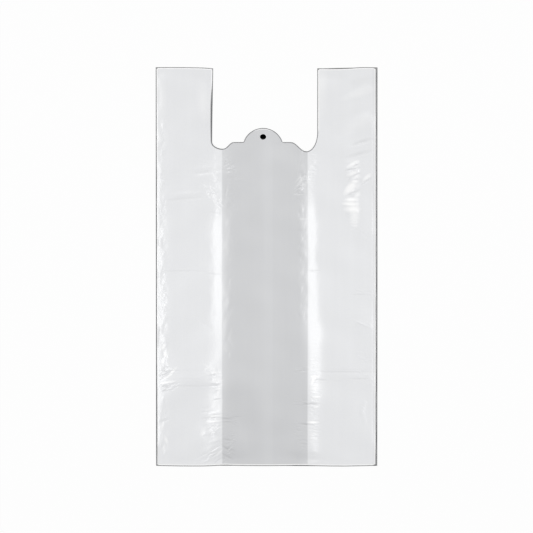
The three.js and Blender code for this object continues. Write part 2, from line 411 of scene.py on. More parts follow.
# Facets where the film was gripped: the crest's start and end, how wide the flank on its left and the
# one on its right are, and the crest's height
FACETS = (
    (103.5, 98, 96, 79.5, 5.0, 7.5, 0.35), (88, 108.5, 104.5, 117.5, 4.2, 1.8, 0.45),
    (89, 101, 105, 108.5, 4.2, 1.8, 0.45), (96, 95.5, 105, 101.5, 3.2, 1.6, 0.35),
    (107, 95.5, 117, 102.8, 4.2, 1.8, 0.3), (88, 73.6, 103.5, 73.6, 3.4, 1.6, 0.45),
    (85, 69.2, 104, 69.2, 3.4, 1.8, 0.45), (87, 62.8, 104, 62.8, 5.4, 6.0, 0.4),
    (99, 76, 105, 81, 3.2, 1.6, 0.3),
)
# Shares of the crest over which a facet rises from its start and falls to its end
FACET_START = 0.25
FACET_END = 0.08

# Broad undulations: waves in a millimetre across and along, start and height
UNDULATIONS = (
    (0.012, 0.017, 0.4, 0.14), (-0.015, 0.011, 1.9, 0.12), (0.006, 0.031, 3.1, 0.07),
    (0.027, 0.008, 5.2, 0.06), (0.019, -0.027, 2.2, 0.05),
)


def stroke(x, y, x1, y1, x2, y2, half_width):
    """1 along the line between two points, falling smoothly to 0 at the half width round it."""
    run_x, run_y = x2 - x1, y2 - y1
    share = np.clip(((x - x1) * run_x + (y - y1) * run_y) / (run_x ** 2 + run_y ** 2), 0, 1)
    distance = np.hypot(x - x1 - share * run_x, y - y1 - share * run_y)
    return np.clip(1 - (distance / half_width) ** 2, 0, 1) ** 2


def facet(x, y, x1, y1, x2, y2, left_width, right_width):
    """1 along the crest between two points, falling to 0 at each flank's width and at both ends."""
    run_x, run_y = x2 - x1, y2 - y1
    share = ((x - x1) * run_x + (y - y1) * run_y) / (run_x ** 2 + run_y ** 2)
    off = (run_x * (y - y1) - run_y * (x - x1)) / math.hypot(run_x, run_y)
    width = np.where(off > 0, left_width, right_width)
    ends = smooth(share, 0, FACET_START) * smooth(1 - share, 0, FACET_END)
    return np.clip(1 - np.abs(off) / width, 0, 1) * ends


# Where the film is finely crinkled: start, end, half width and strength of each patch.
# Ripples run across the bag, the next two rise and fall to the right, and crumples run any way.
CRINKLES = {
    "ripple": (
        (53, 123, 53, 105, 7, 0.9), (52, 104, 52, 80, 6, 0.45), (52, 76, 52, -4, 5, 0.1),
        (56, -70, 59, -100, 11, 0.2), (56, -105, 56, -140, 10, 0.6), (54, -143, 54, -195, 9, 0.7),
        (53, -195, 52, -222, 8, 0.35), (97, 60, 100, 46, 9, 0.8), (104, -28, 116, -30, 5, 0.5),
        (104, -98, 116, -110, 7, 0.45), (104, -119, 117, -126, 7, 0.7), (-68, -116, -55, -134, 9, 0.9),
        (-68, -164, -52, -178, 9, 0.8), (-116, -114, -104, -118, 5, 1.2), (-45, -164, -36, -177, 8, 0.7),
        (34, -117, 44, -117, 6, 0.8), (34, -154, 44, -154, 7, 0.8), (-46, 120, -34, 60, 7, 0.35),
        (34, -180, 44, -205, 8, 0.7), (-110, -119, -60, -127, 6, 0.2), (-70, 118, -56, 96, 8, 0.4),
    ),
    "rising": (
        (94, 88, 106, 120, 9, 0.3), (-76, -222, -54, -206, 9, 0.9), (-118, -124, -106, -118, 6, 1.3),
        (-118, -138, -102, -134, 6, 1.0), (36, 84, 45, 103, 8, 1.1), (-47, -220, -38, -190, 8, 0.9),
        (-46, 122, -30, 92, 9, 0.45), (100, 190, 116, 200, 8, 0.15), (-60, -185, -52, -196, 8, 0.9),
    ),
    "falling": (
        (-70, 92, -57, 85, 6, 0.9), (-64, 83, -53, 71, 7, 1.2), (-119, 101, -113, 93, 5, 0.6),
        (-81, -56, -64, -69, 4, 0.25), (106, 44, 116, 30, 5, 0.35), (98, -61, 117, -68, 4, 0.4),
        (112, -153, 108, -165, 4, 0.4), (-117, -6, -113, -60, 6, 0.5),
    ),
    "crumple": (
        (-118, 72, -118, -4, 8, 0.35), (-118, -10, -117, -86, 9, 0.4), (-116, -165, -115, -209, 9, 0.4),
        (-58, 126, -56, 60, 6, 0.25), (-58, -112, -57, -151, 9, 0.2), (-70, -180, -66, -195, 9, 0.15),
        (39, 130, 41, -60, 7, 0.4), (-116, 163, -116, 157, 4, 0.4), (-30, 146, 24, 146, 14, 0.12),
        (-117, 150, -118, 80, 6, 0.25), (-62, 60, -60, -60, 8, 0.12), (55, 60, 56, -60, 8, 0.12),
        (-42, 124, -43, -100, 7, 0.28), (-116, -88, -116, -112, 8, 0.5), (-115, -150, -116, -165, 7, 0.3),
    ),
}


def patch_strength(patches, x, y):
    """How strongly what is in the patches shows at each place."""
    strength = np.zeros(len(x))
    for *line, half_width, amount in patches:
        strength = np.maximum(strength, amount * stroke(x, y, *line, half_width))
    return strength


# Painted highlight: how strongly a whiter glow is painted just inside each tuck's fold, along the bag
FOLD_HIGHLIGHT = {
    -1: ((150, 0.1), (115, 0.26), (90, 0.16), (58, 0.26), (20, 0.36), (-60, 0.36), (-105, 0.24), (-140, 0.1),
         (-225, 0.04)),
    1: ((150, 0.0), (110, 0.14), (92, 0.24), (70, 0.4), (0, 0.42), (-50, 0.36), (-90, 0.24), (-120, 0.08),
        (-200, 0.04), (-225, 0.3)),
}
FOLD_HIGHLIGHT_REACH = 11.0

# Height of a crumple at full strength, its size across and along, the slice of the noise that it
# is taken from, and the faintest one that is made
CRUMPLE_RISE = 1.1
CRUMPLE_CELL = (5.5, 8.0)
CRUMPLE_SLICE = 0.5
CRUMPLE_FAINTEST = 0.02
# The film stays still beside the outer folds and the ends, and creases fully from here in
STILL_SIDES = (0.0, 5.0)
STILL_ENDS = (3.0, 14.0)


def crumples(x, y):
    """Small irregular bumps where the film is crumpled, from about -0.5 to 0.5 at full strength."""
    strength = patch_strength(CRINKLES["crumple"], x, y)
    bumps = np.zeros(len(x))
    for number in np.flatnonzero(strength > CRUMPLE_FAINTEST):
        cell = Vector((x[number] / CRUMPLE_CELL[0], y[number] / CRUMPLE_CELL[1], CRUMPLE_SLICE))
        bumps[number] = noise.noise(cell) * strength[number]
    return bumps


def front_creases(x, y):
    """Height that creases and soft folds add to the front layer."""
    height = 0
    for pace_x, pace_y, start, rise in UNDULATIONS:
        height = height + rise * np.sin(2 * math.pi * (x * pace_x + y * pace_y) + start)
    for *line, half_width, rise in CREASES:
        height = height + rise * stroke(x, y, *line, half_width)
    for *line, rise in FACETS:
        height = height + rise * facet(x, y, *line)
    height = height + CRUMPLE_RISE * crumples(x, y)
    inside = smooth(HALF_WIDTH - np.abs(x), *STILL_SIDES) * smooth(HALF_HEIGHT - np.abs(y), *STILL_ENDS)
    return height * inside


def spring_apart(points, sizes):
    """Lifts the layers of the flat stack to where they stand once the bag relaxes."""
    wall = mm(sizes.wall)
    x, y, z = points.T
    gap = relief(x, y, sizes)
    height = z.copy()
    for number, share in enumerate(GAP_SHARES):
        floor = (number + 1) * wall + number * FLAT_GAP
        passed = np.clip((z - floor) / FLAT_GAP, 0, 1)
        height += passed * (share * gap - FLAT_GAP)
    height += passed * front_creases(x, y)
    return np.stack([x, y, height], axis=1)


# How far the real outline strays from straight, as stops along each edge
LEFT_EDGE = ((225, -0.2), (60, -0.05), (-60, 0.1), (-225, 0.2))
RIGHT_EDGE = ((225, 0.5), (120, 0.35), (0, 0.4), (-225, 0.15))
BOTTOM_EDGE = ((-125, -0.3), (-95, -0.9), (-62, -0.6), (-50, 0.1), (-30, -0.35), (5, -0.55), (40, -0.2),
               (56, -0.6), (80, -1.0), (125, -0.3))
TOP_EDGE = ((-125, 0.25), (-84, 0.1), (-72, -0.2), (-61, -1.1), (57, -1.0), (84, -0.95), (94, -0.55),
            (104, 0.1), (125, 0.1))
LEFT_HANDLE_EDGE = ((225, 1.2), (208, 0.9), (188, 0.15), (165, 0.0), (140, 0.0))
# Between which distances from the bag's middle each edge's stray sets in
LEFT_STRAYS = (40.0, 120.0)
RIGHT_STRAYS = (110.0, 124.0)
ENDS_STRAY = (170.0, 222.0)
# The left handle's inner edge: its stray sets in between these heights and over this width beside it,
# and ends over this width left of the bag's middle
HANDLE_STRAYS = (130.0, 150.0)
HANDLE_STRAY_WIDTH = 30.0
HANDLE_STRAY_END = 20.0


def stray(points, sizes):
    """Moves the outline off its straight lines by what hand-guided welding and punching leave."""
    x, y, z = points.T
    left_x = -HALF_WIDTH + mm(sizes.left_handle)
    shift_x = along(y, LEFT_EDGE) * smooth(-x, *LEFT_STRAYS) + along(y, RIGHT_EDGE) * smooth(x, *RIGHT_STRAYS)
    beside = smooth(x, left_x - HANDLE_STRAY_WIDTH, left_x) * smooth(-x, 0, HANDLE_STRAY_END)
    shift_x = shift_x + along(y, LEFT_HANDLE_EDGE) * (beside * smooth(y, *HANDLE_STRAYS))
    shift_y = along(x, BOTTOM_EDGE) * smooth(-y, *ENDS_STRAY) + along(x, TOP_EDGE) * smooth(y, *ENDS_STRAY)
    return np.stack([x + shift_x, y + shift_y, z], axis=1)


# The flat tube

def fold_points(tip_x, side, rounding, low, high):
    """Half an ellipse from the lower to the upper level, bulging to the side given."""
    angles = np.linspace(-math.pi / 2, math.pi / 2, FOLD_STEPS + 1)
    middle, rise = (low + high) / 2, (high - low) / 2
    return [(tip_x - side * rounding * (1 - math.cos(a)), middle + rise * math.sin(a)) for a in angles]


def even(start, end, pitch):
    return np.linspace(start, end, max(2, round(abs(end - start) / pitch)) + 1)


def chain(start, stops):
    """Places from a start through each stop in turn, as far apart as that stop's pitch."""
    places = [[start]]
    for stop, pitch in stops:
        places.append(even(start, stop, pitch)[1:])
        start = stop
    return np.concatenate(places)


def front_places(left_fold, right_fold, outer):
    """Places across the front from left to right, close together where the film bends most."""
    return chain(-outer, (
        (-outer + EDGE_REACH, EDGE_PITCH),
        (-outer + FINE_REACH, FINE_PITCH),
        (left_fold - FINE_REACH, PLAIN_PITCH),
        (left_fold + FINE_REACH, FINE_PITCH),
        (right_fold - FINE_REACH, PLAIN_PITCH),
        (right_fold + FINE_REACH, FINE_PITCH),
        (GRIP_LOW[0], PLAIN_PITCH),
        (GRIP_HIGH[0], GRIP_PITCH),
        (outer - EDGE_REACH, FINE_PITCH),
        (outer, EDGE_PITCH),
    ))


def row_places():
    """Places along the bag from the bottom up, closer together where it was gripped."""
    return chain(-HALF_HEIGHT, (
        (GRIP_LOW[1], ROW_PITCH), (GRIP_HIGH[1], FINE_ROW_PITCH), (HALF_HEIGHT, ROW_PITCH),
    ))


def side_path(gusset, wall):
    """The film's middle line from the back's edge to the front's, round one gusset, on the right."""
    levels = [wall / 2 + number * (wall + FLAT_GAP) for number in range(LAYERS)]
    tip = HALF_WIDTH - wall / 2
    outer = tip - OUTER_FOLD_ROUND
    fold_tip = HALF_WIDTH - gusset + wall / 2
    inner = fold_tip + GUSSET_FOLD_ROUND
    tucked = even(inner, outer, HIDDEN_PITCH)[1:-1]
    return [
        *fold_points(tip, 1, OUTER_FOLD_ROUND, levels[0], levels[1]),
        *[(x, levels[1]) for x in tucked[::-1]],
        *fold_points(fold_tip, -1, GUSSET_FOLD_ROUND, levels[1], levels[2]),
        *[(x, levels[2]) for x in tucked],
        *fold_points(tip, 1, OUTER_FOLD_ROUND, levels[2], levels[3]),
    ]


def tube_section(sizes):
    """The film's middle line all round, from the middle of the back to the left and over the front."""
    wall = mm(sizes.wall)
    left = [(-x, z) for x, z in side_path(mm(sizes.left_gusset), wall)]
    right = side_path(mm(sizes.right_gusset), wall)
    low, high = wall / 2, right[-1][1]
    outer = right[-1][0]
    left_fold = -HALF_WIDTH + mm(sizes.left_gusset)
    right_fold = HALF_WIDTH - mm(sizes.right_gusset)
    back = even(0, outer, HIDDEN_PITCH)[:-1]
    front = front_places(left_fold, right_fold, outer)[1:-1]
    return np.array([
        *[(-x, low) for x in back],
        *left,
        *[(x, high) for x in front],
        *right[::-1],
        *[(x, low) for x in back[::-1]],
    ])


# Work on meshes

def only(piece):
    """Makes one object the selected and active one."""
    bpy.ops.object.select_all(action="DESELECT")
    piece.select_set(True)
    bpy.context.view_layer.objects.active = piece


def points_of(mesh):
    values = np.empty(len(mesh.vertices) * 3, dtype=np.float32)
    mesh.vertices.foreach_get("co", values)
    return values.reshape(-1, 3).astype(float) / MM


def set_points(mesh, points):
    mesh.vertices.foreach_set("co", (np.asarray(points) * MM).astype(np.float32).ravel())
    mesh.update()


def apply_modifier(piece, kind, **settings):
    only(piece)
    modifier = piece.modifiers.new(kind.title(), kind)
    for name, value in settings.items():
        setattr(modifier, name, value)
    bpy.ops.object.modifier_apply(modifier=modifier.name)


def edit(piece, *steps):
    """Runs edit-mode steps on all of a piece."""
    only(piece)
    bpy.ops.object.mode_set(mode="EDIT")
    bpy.ops.mesh.select_all(action="SELECT")
    for step in steps:
        step()
    bpy.ops.object.mode_set(mode="OBJECT")


def flat_tube(sizes):
    """A sheet of film as a plain grid, rolled round into a flat tube with its sides tucked in."""
    section = tube_section(sizes)
    columns = len(section)
    places = row_places()
    rows = len(places) - 1
    bpy.ops.object.select_all(action="DESELECT")
    bpy.ops.mesh.primitive_grid_add(x_subdivisions=columns, y_subdivisions=rows, size=1)
    tube = bpy.context.object
    tube.name = tube.data.name = PIECE
    ring = np.concatenate([section, section[:1]])
    x = np.tile(ring[:, 0], rows + 1)
    z = np.tile(ring[:, 1], rows + 1)
    y = np.repeat(places, columns + 1)
    set_points(tube.data, np.stack([x, y, z], axis=1))
    edit(tube, lambda: bpy.ops.mesh.remove_doubles(threshold=MERGE_WITHIN * MM))
    apply_modifier(tube, "SOLIDIFY", thickness=sizes.wall, offset=0, use_rim=True)
    return tube


def block(name, low, high):
    """A cube primitive stretched between two corners."""
    bpy.ops.object.select_all(action="DESELECT")
    bpy.ops.mesh.primitive_cube_add(size=1)
    cube = bpy.context.object
    cube.name = name
    low, high = np.array(low, float), np.array(high, float)
    set_points(cube.data, (points_of(cube.data) * MM + 0.5) * (high - low) + low)
    return cube


def punch(name, outline, low, high):
    """A cutter with the outline given in X and Y, standing from one height to another."""
    bpy.ops.object.select_all(action="DESELECT")
    bpy.ops.mesh.primitive_circle_add(vertices=len(outline), fill_type="NGON")
    cutter = bpy.context.object
    cutter.name = name
    set_points(cutter.data, np.column_stack([outline, np.full(len(outline), low)]))
    rise = (0, 0, (high - low) * MM)
    edit(
        cutter,
        lambda: bpy.ops.mesh.extrude_region_move(TRANSFORM_OT_translate={"value": rise}),
        lambda: bpy.ops.mesh.select_all(action="SELECT"),
        lambda: bpy.ops.mesh.normals_make_consistent(inside=False),
    )
    return cutter


def combine(piece, other, operation):
    """Joins or cuts one piece by another, which is used up."""
    apply_modifier(piece, "BOOLEAN", object=other, operation=operation, solver="MANIFOLD")
    bpy.data.objects.remove(other)


# How far in from the film's outline the weld strips end, and how far past the film the punches reach
WELD_INSET = 0.12
PUNCH_MARGIN = 5.0


def weld(tube, sizes):
    """Fuses the layers across the bottom and the handle tops."""
    wall = mm(sizes.wall)
    top = LAYERS * wall + (LAYERS - 1) * FLAT_GAP
    half = HALF_WIDTH - WELD_INSET
    end = HALF_HEIGHT - WELD_INSET
    low, high = wall / 2, top - wall / 2
    strips = [
        (-end, -HALF_HEIGHT + mm(sizes.bottom_weld)),
        (HALF_HEIGHT - mm(sizes.handle_weld), end),
    ]
    for number, (start, stop) in enumerate(strips):
        combine(tube, block(f"weld_{number}", (-half, start, low), (half, stop, high)), "UNION")


def punch_out(tube, sizes):
    """Cuts the mouth and the hang hole through all layers."""
    top = LAYERS * (mm(sizes.wall) + FLAT_GAP) + PUNCH_MARGIN
    outline = mouth_outline(sizes, PUNCH_MARGIN)
    combine(tube, punch("mouth_punch", outline, -PUNCH_MARGIN, top), "DIFFERENCE")
    combine(tube, punch("hole_punch", hole_outline(sizes), -PUNCH_MARGIN, top), "DIFFERENCE")


def distance_to(points, outline, closed):
    """Distance in X and Y from each point to a line through the outline's points."""
    ends = np.roll(outline, -1, axis=0) if closed else outline[1:]
    starts = outline if closed else outline[:-1]
    best = np.full(len(points), np.inf)
    for start, end in zip(starts, ends):
        along_line = end - start
        share = np.clip((points - start) @ along_line / (along_line @ along_line), 0, 1)
        offset = points - (start + share[:, None] * along_line)
        best = np.minimum(best, np.hypot(*offset.T))
    return best


# Distances from the outline are stored up to this
RIM_LIMIT = 12.0
# How many times wider than the top's the painted shade line is, with stops along the bag where it changes
RIM_WEIGHT = {"right": 2.6, "top": 1.0, "bottom": 1.0, "mouth": 1.15, "tab": 1.0}
LEFT_WEIGHT = ((225, 1.25), (100, 1.5), (-100, 1.5), (-150, 1.9), (-205, 2.0), (-225, 1.7))
LEFT_HANDLE_WEIGHT = ((225, 1.0), (212, 1.0), (190, 1.9), (150, 2.0), (138, 1.6), (120, 1.3))
# The left handle's line gives way to the mouth's here, and the mouth's to the tab's over this rise
LEFT_HANDLE_TO_MOUTH = -50.0
MOUTH_TO_TAB = 6.0
# The hang hole's edge counts as lying this far in from the outline, which thins its painted shade line
HOLE_RIM_START = 1.0
# The same for the painted highlight line inside the outline, partly the pressed welds, which fades out below
# the handles and is faint round the hole
PRESSED_AND_HIGHLIGHT_WEIGHT = {"left": 1.0, "right": 1.6, "top": 1.0, "bottom": 1.0}
PRESSED_AND_HIGHLIGHT_FADE = (138.0, 156.0)
HOLE_HIGHLIGHT_START = 1.75


def store(piece, name, values):
    """Keeps one number for each point of a piece, for its material to read."""
    layer = piece.data.attributes.new(name, "FLOAT", "POINT")
    layer.data.foreach_set("value", np.asarray(values, np.float32))


def mark_rim(piece, sizes):
    """Stores each point's distance from the bag's outline, for the film's painted shade line and painted
    highlight line.
    """
    points = points_of(piece.data)[:, :2]
    x, y = points.T
    shoulder_y = HALF_HEIGHT - mm(sizes.shoulder_depth)
    mouth = distance_to(points, mouth_outline(sizes, 0), False)
    on_tab = smooth(y, shoulder_y - MOUTH_TO_TAB, shoulder_y)
    weight = RIM_WEIGHT["mouth"] + (RIM_WEIGHT["tab"] - RIM_WEIGHT["mouth"]) * on_tab
    weight = np.where(x < LEFT_HANDLE_TO_MOUTH, along(y, LEFT_HANDLE_WEIGHT), weight)
    hole = distance_to(points, hole_outline(sizes), True)
    sides = {
        "left": HALF_WIDTH + x, "right": HALF_WIDTH - x, "bottom": HALF_HEIGHT + y, "top": HALF_HEIGHT - y,
    }
    dark = [sides[name] / RIM_WEIGHT[name] for name in ("right", "bottom", "top")]
    dark += [sides["left"] / along(y, LEFT_WEIGHT), mouth / weight, hole + HOLE_RIM_START]
    pressed_and_highlight = [distance / PRESSED_AND_HIGHLIGHT_WEIGHT[name] for name, distance in sides.items()]
    pressed_and_highlight += [mouth + RIM_LIMIT * (1 - smooth(y, *PRESSED_AND_HIGHLIGHT_FADE)), hole + HOLE_HIGHLIGHT_START]
    for name, lines in (("rim_shade", dark), ("pressed_and_highlight", pressed_and_highlight)):
        store(piece, name, np.clip(np.min(lines, axis=0), 0, RIM_LIMIT))


def mark_crinkles(piece):
    """Stores how strongly each kind of fine crinkle shows at each point."""
    x, y, _ = points_of(piece.data).T
    for name, patches in CRINKLES.items():
        store(piece, name, patch_strength(patches, x, y))


def mark_fold_highlight(piece, sizes):
    """Stores how strongly the painted highlight just inside the tucks' folds shows at each point."""
    x, y, _ = points_of(piece.data).T
    fold_highlight = np.zeros(len(x))
    for side, gusset in ((-1, mm(sizes.left_gusset)), (1, mm(sizes.right_gusset))):
        past_fold = HALF_WIDTH - side * x - gusset
        fold_highlight = np.maximum(fold_highlight, along(y, FOLD_HIGHLIGHT[side]) * smooth(past_fold, FOLD_HIGHLIGHT_REACH, 0))
    store(piece, "fold_highlight", fold_highlight)


def place(piece):
    """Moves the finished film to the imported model's middle, in its mesh."""
    points = points_of(piece.data)
    set_points(piece.data, points + (MIDDLE_X, MIDDLE_Y, CAD_LOW.z / MM - points[:, 2].min()))


# Materials

# Settings that several nodes share
MULTIPLY = {"operation": "MULTIPLY"}
MULTIPLY_ADD = {"operation": "MULTIPLY_ADD"}
MAXIMUM = {"operation": "MAXIMUM"}
TURNED = {"vector_type": "TEXTURE"}
FLAT_NOISE = {"noise_dimensions": "2D"}
SOFT_RANGE = {"interpolation_type": "SMOOTHSTEP"}


def add_node(tree, kind, settings=None, inputs=None):
    """Adds a shader node, sets its settings, and sets or links its inputs."""
    node = tree.nodes.new("ShaderNode" + kind)
    for name, value in (settings or {}).items():
        setattr(node, name, value)
    for name, value in (inputs or {}).items():
        socket = node.inputs[name]
        if isinstance(value, bpy.types.NodeSocket):
            tree.links.new(value, socket)
        else:
            socket.default_value = value
    return node


def bare_tree(owner):
    """The shader tree of a material or world, emptied."""
    owner.use_nodes = True
    owner.node_tree.nodes.clear()
    return owner.node_tree


# Angle of each kind of crinkle in degrees, how far apart its lines are, and how many times longer.
# Each kind's pattern is moved on by a step, so that no two kinds share their lines.
CRINKLE_HEIGHT = 0.6
CRINKLE_KINDS = (
    ("ripple", 3, 6.2, 3.0), ("rising", 32, 4.6, 4.0), ("falling", -36, 4.6, 4.0), ("crumple", 66, 6.0, 2.2),
)
CRINKLE_STEP = 13.0
CRINKLE_LIFT = 7.0

# Sharp creases: middle, angle in degrees, half length, half width and depth, which is below 0 for a ridge
SHARP_CREASES = (
    (-95, -5.3, 0, 36, 1.5, 0.12), (-57, -8.4, -2, 12, 1.5, 0.14), (53, -4.7, 0, 9, 1.3, 0.16),
    (88, -119.3, 0, 42, 1.6, 0.13), (90, -116.6, 0, 30, 1.4, 0.05), (104, -127, 1, 14, 1.6, 0.13),
    (-92, 76.3, 4, 27, 2.4, 0.1), (-94, 82, 4, 22, 3.0, -0.12), (-66, 107, 8, 18, 2.4, 0.12),
    (-70, 112, 8, 20, 3.0, -0.1), (-57, 61, -6, 8, 1.2, 0.12), (108, 140.8, 18, 15, 3.4, 0.26),
    (104, 127, 15, 18, 3.2, 0.24), (97.3, 109.7, 11, 10, 1.6, 0.28), (101.2, 114.8, 27, 6, 1.3, 0.2),
    (101.2, 103.5, 27, 6, 1.3, 0.2), (100.1, 97.8, 18, 4, 1.2, 0.16), (93.3, 98.4, 49, 6, 2.0, 0.14),
    (97.3, 83.1, 25, 11, 2.2, 0.28), (112.5, 96.1, 35, 9, 1.7, 0.26), (-89, -117.8, 0, 36, 1.6, 0.05),
    (-89, -127.2, 0, 36, 1.6, 0.05), (-88, -135.2, 0, 38, 1.6, 0.09), (-62, -171.3, 2, 14, 1.6, 0.2),
    (-59, -166, 4, 11, 2.4, -0.22), (-58, -176, 0, 10, 2.4, -0.2), (-62, -180, -4, 13, 1.4, 0.12),
    (-64, -188, 14, 11, 3.6, -0.18), (-58, -197, 22, 9, 3.0, -0.2), (-57, -207, 36, 9, 1.8, -0.2),
    (-56, -211, 38, 9, 1.3, 0.2), (-57, -215, 38, 10, 1.8, -0.2), (-55, -219.5, 38, 7, 1.2, 0.18),
    (-65, -218, 30, 9, 1.8, -0.18), (-73, -62.3, -36, 13, 2.2, -0.12), (107, -64.5, -20, 12, 2.0, -0.16),
    (107, -32, 0, 12, 1.5, 0.12), (-44, -207, -38, 12, 1.6, 0.14), (41, -117.5, 2, 7, 1.2, 0.12),
    (-36, -170, 4, 10, 1.4, 0.12), (-112, -121, 25, 9, 1.5, 0.2), (-112, -132, 8, 11, 1.4, -0.2),
    (-115, -118, 0, 7, 1.5, 0.24), (-114, -135.5, -8, 7, 1.6, 0.26), (-113, -140.5, 8, 8, 1.6, 0.26),
    (-115, -174, 20, 7, 2.4, 0.22), (50, -155.5, 2, 11, 1.8, 0.24), (44, -178.5, -4, 11, 1.8, 0.26),
    (60.5, -128.5, 0, 9, 1.7, 0.14), (-46, -172, 0, 12, 2.0, 0.26), (-45, -175.8, 2, 10, 1.5, 0.16),
    (-43, -196, -10, 9, 1.9, 0.2), (-59, -122.6, 0, 11, 1.7, 0.16), (-58, -134.6, -3, 9, 1.5, 0.16),
    (-56, -150.5, 12, 6, 1.5, 0.1), (108, 209, 12, 20, 9, 0.05), (110, 177, 6, 18, 7, 0.03),
    (-43, 69, 80, 6, 2.4, 0.14), (-46, 83, 84, 9, 1.8, 0.12), (-42.5, 108, -10, 9, 2.4, 0.14),
    (-47, 116, 88, 6, 1.8, 0.16), (38, 82, 0, 8, 1.6, 0.14), (36.5, 89.5, 50, 6, 1.6, 0.18),
    (39, 41, 0, 7, 2.6, 0.08), (37.5, 20, 75, 6, 2.2, 0.1), (-43, -206, -20, 10, 2.2, 0.24),
    (-44, -215, -28, 9, 2.0, 0.22),
)
# Painted shade: how much darker a crease's colour is painted for each unit of its depth
CREASE_SHADE = 0.45

# Where the film is whitened by creasing, and where its lighter patches and the glints on its creases, facets
# and
# edges are painted as painted highlights: middle, angle in degrees, half length, half width and whiteness
WHITENING_AND_HIGHLIGHTS = (
    (97.3, 115.4, 32, 10, 2.8, 0.95), (100.7, 112.5, 27, 4.5, 1.6, 0.6), (97.8, 105.4, 24, 10, 2.8, 1.0),
    (101.2, 101.2, 30, 6, 2.0, 0.9), (100, 96.6, 0, 5, 2.2, 1.0), (94.6, 89.0, 50, 12, 5.2, 1.6),
    (100.7, 90.4, 15, 5.5, 2.6, 0.4), (98, 85.6, 60, 3.6, 2.0, 0.7), (102.4, 80.6, 45, 6, 2.6, 0.9),
    (96.1, 75.6, 3, 10, 3.2, 1.3), (95, 71, 0, 11.5, 2.9, 1.4), (96.9, 65.2, 0, 11, 5.6, 1.1),
    (99.5, 57, 90, 16, 7, 0.8), (113.2, 100.5, 42, 8, 2.8, 0.9), (96.7, 119.5, 0, 10, 4.0, 0.3),
    (56, -147.6, 0, 6.5, 1.9, 1.0), (52.6, -175.9, 0, 8, 1.9, 1.5), (55, -124.2, 2, 7, 2.2, 1.0),
    (52.4, -129.5, 62, 6, 2.0, 0.9), (55, -137.5, 85, 6, 4.0, 0.6), (56.5, -158.5, 20, 5, 2.0, 0.7),
    (54.5, -189, 0, 6, 1.6, 0.5), (54, -193.5, 0, 6, 1.4, 0.4), (53, -220, 0, 9, 2.6, 0.5),
    (-59, -168.6, 6, 11, 1.8, 0.8), (-60, -175.2, 0, 9, 1.6, 0.7), (-59, -119.5, 2, 10, 2.0, 0.45),
    (-53.6, -139, 80, 8, 2.4, 0.55), (-56, -129, 8, 9, 3.0, 0.4), (-66, -113, -30, 8, 2.4, 0.3),
    (-55, -147, 20, 6, 2.2, 0.35), (-59, -156, 60, 6, 2.8, 0.3), (-53.6, -158, 95, 8, 1.8, 0.35),
    (-57, -163.5, 18, 9, 1.8, 0.4), (-54, -210, 38, 7, 2.0, 0.7), (-72, -187, 60, 7, 3.4, 0.35),
    (-72, 188, 96, 30, 9, 0.3), (61, 196, 88, 42, 9, 0.3), (62, 209, 90, 16, 8, 0.2),
    (103, 195, 17, 24, 5.5, 0.35), (101, 160, 27, 24, 9, 0.3), (-118, 190, 90, 38, 6, 0.3),
    (-45, 28, 90, 24, 4.5, 0.16), (-44.5, 50.5, 70, 7, 3.2, 0.2), (41.5, 53.7, 0, 6, 1.8, 0.3),
    (40.5, -7, 80, 6, 2.4, 0.2), (38.5, 96.5, 50, 9, 2.0, 0.3), (35.5, 98.5, 50, 6, 1.4, 0.2),
    (-106, -118.5, 48, 8, 2.2, 1.0), (-112, -124.5, 25, 7, 2.0, 0.9), (-111, -130.5, 8, 10, 1.8, 0.9),
    (-117.5, -180, 84, 7, 2.4, 0.7), (-113.5, -196, 110, 7, 2.4, 0.8), (-116, -205, 70, 5, 2.0, 0.6),
    (-117, -92, 62, 6, 2.4, 0.6), (-114, -100, 118, 6, 2.4, 0.6), (-117.5, -108, 75, 5, 2.2, 0.5),
)


def spindle(tree, place_out, x, y, angle, half_length, half_width):
    """1 at a place on the film, falling evenly to 0 round it along a slender turned ellipse."""
    local = add_node(tree, "Mapping", TURNED, {
        "Vector": place_out, "Location": (x * MM, y * MM, 0), "Rotation": (0, 0, math.radians(angle)),
        "Scale": (half_length * MM, half_width * MM, 1)})
    return add_node(tree, "TexGradient", {"gradient_type": "SPHERICAL"}, {
        "Vector": local.outputs["Vector"]}).outputs["Fac"]


def crinkles(tree, place_out):
    """Height of the fine crinkles where the film was handled."""
    total = 0.0
    for number, (name, angle, apart, stretch) in enumerate(CRINKLE_KINDS):
        spacing = apart / 2 * MM
        turned = add_node(tree, "Mapping", TURNED, {
            "Vector": place_out, "Location": (CRINKLE_STEP * number * MM, CRINKLE_LIFT * MM, 0),
            "Rotation": (0, 0, math.radians(angle)), "Scale": (spacing * stretch, spacing, 1)})
        lines = add_node(tree, "TexNoise", FLAT_NOISE, {
            "Vector": turned.outputs["Vector"], "Scale": 1.0, "Detail": 2.0, "Roughness": 0.45,
            "Distortion": 0.3})
        centred = add_node(tree, "Math", {"operation": "SUBTRACT"}, {0: lines.outputs["Fac"], 1: 0.5})
        amount = add_node(tree, "Attribute", {"attribute_name": name})
        total = add_node(tree, "Math", MULTIPLY_ADD, {
            0: centred.outputs[0], 1: amount.outputs["Fac"], 2: total}).outputs[0]
    return total


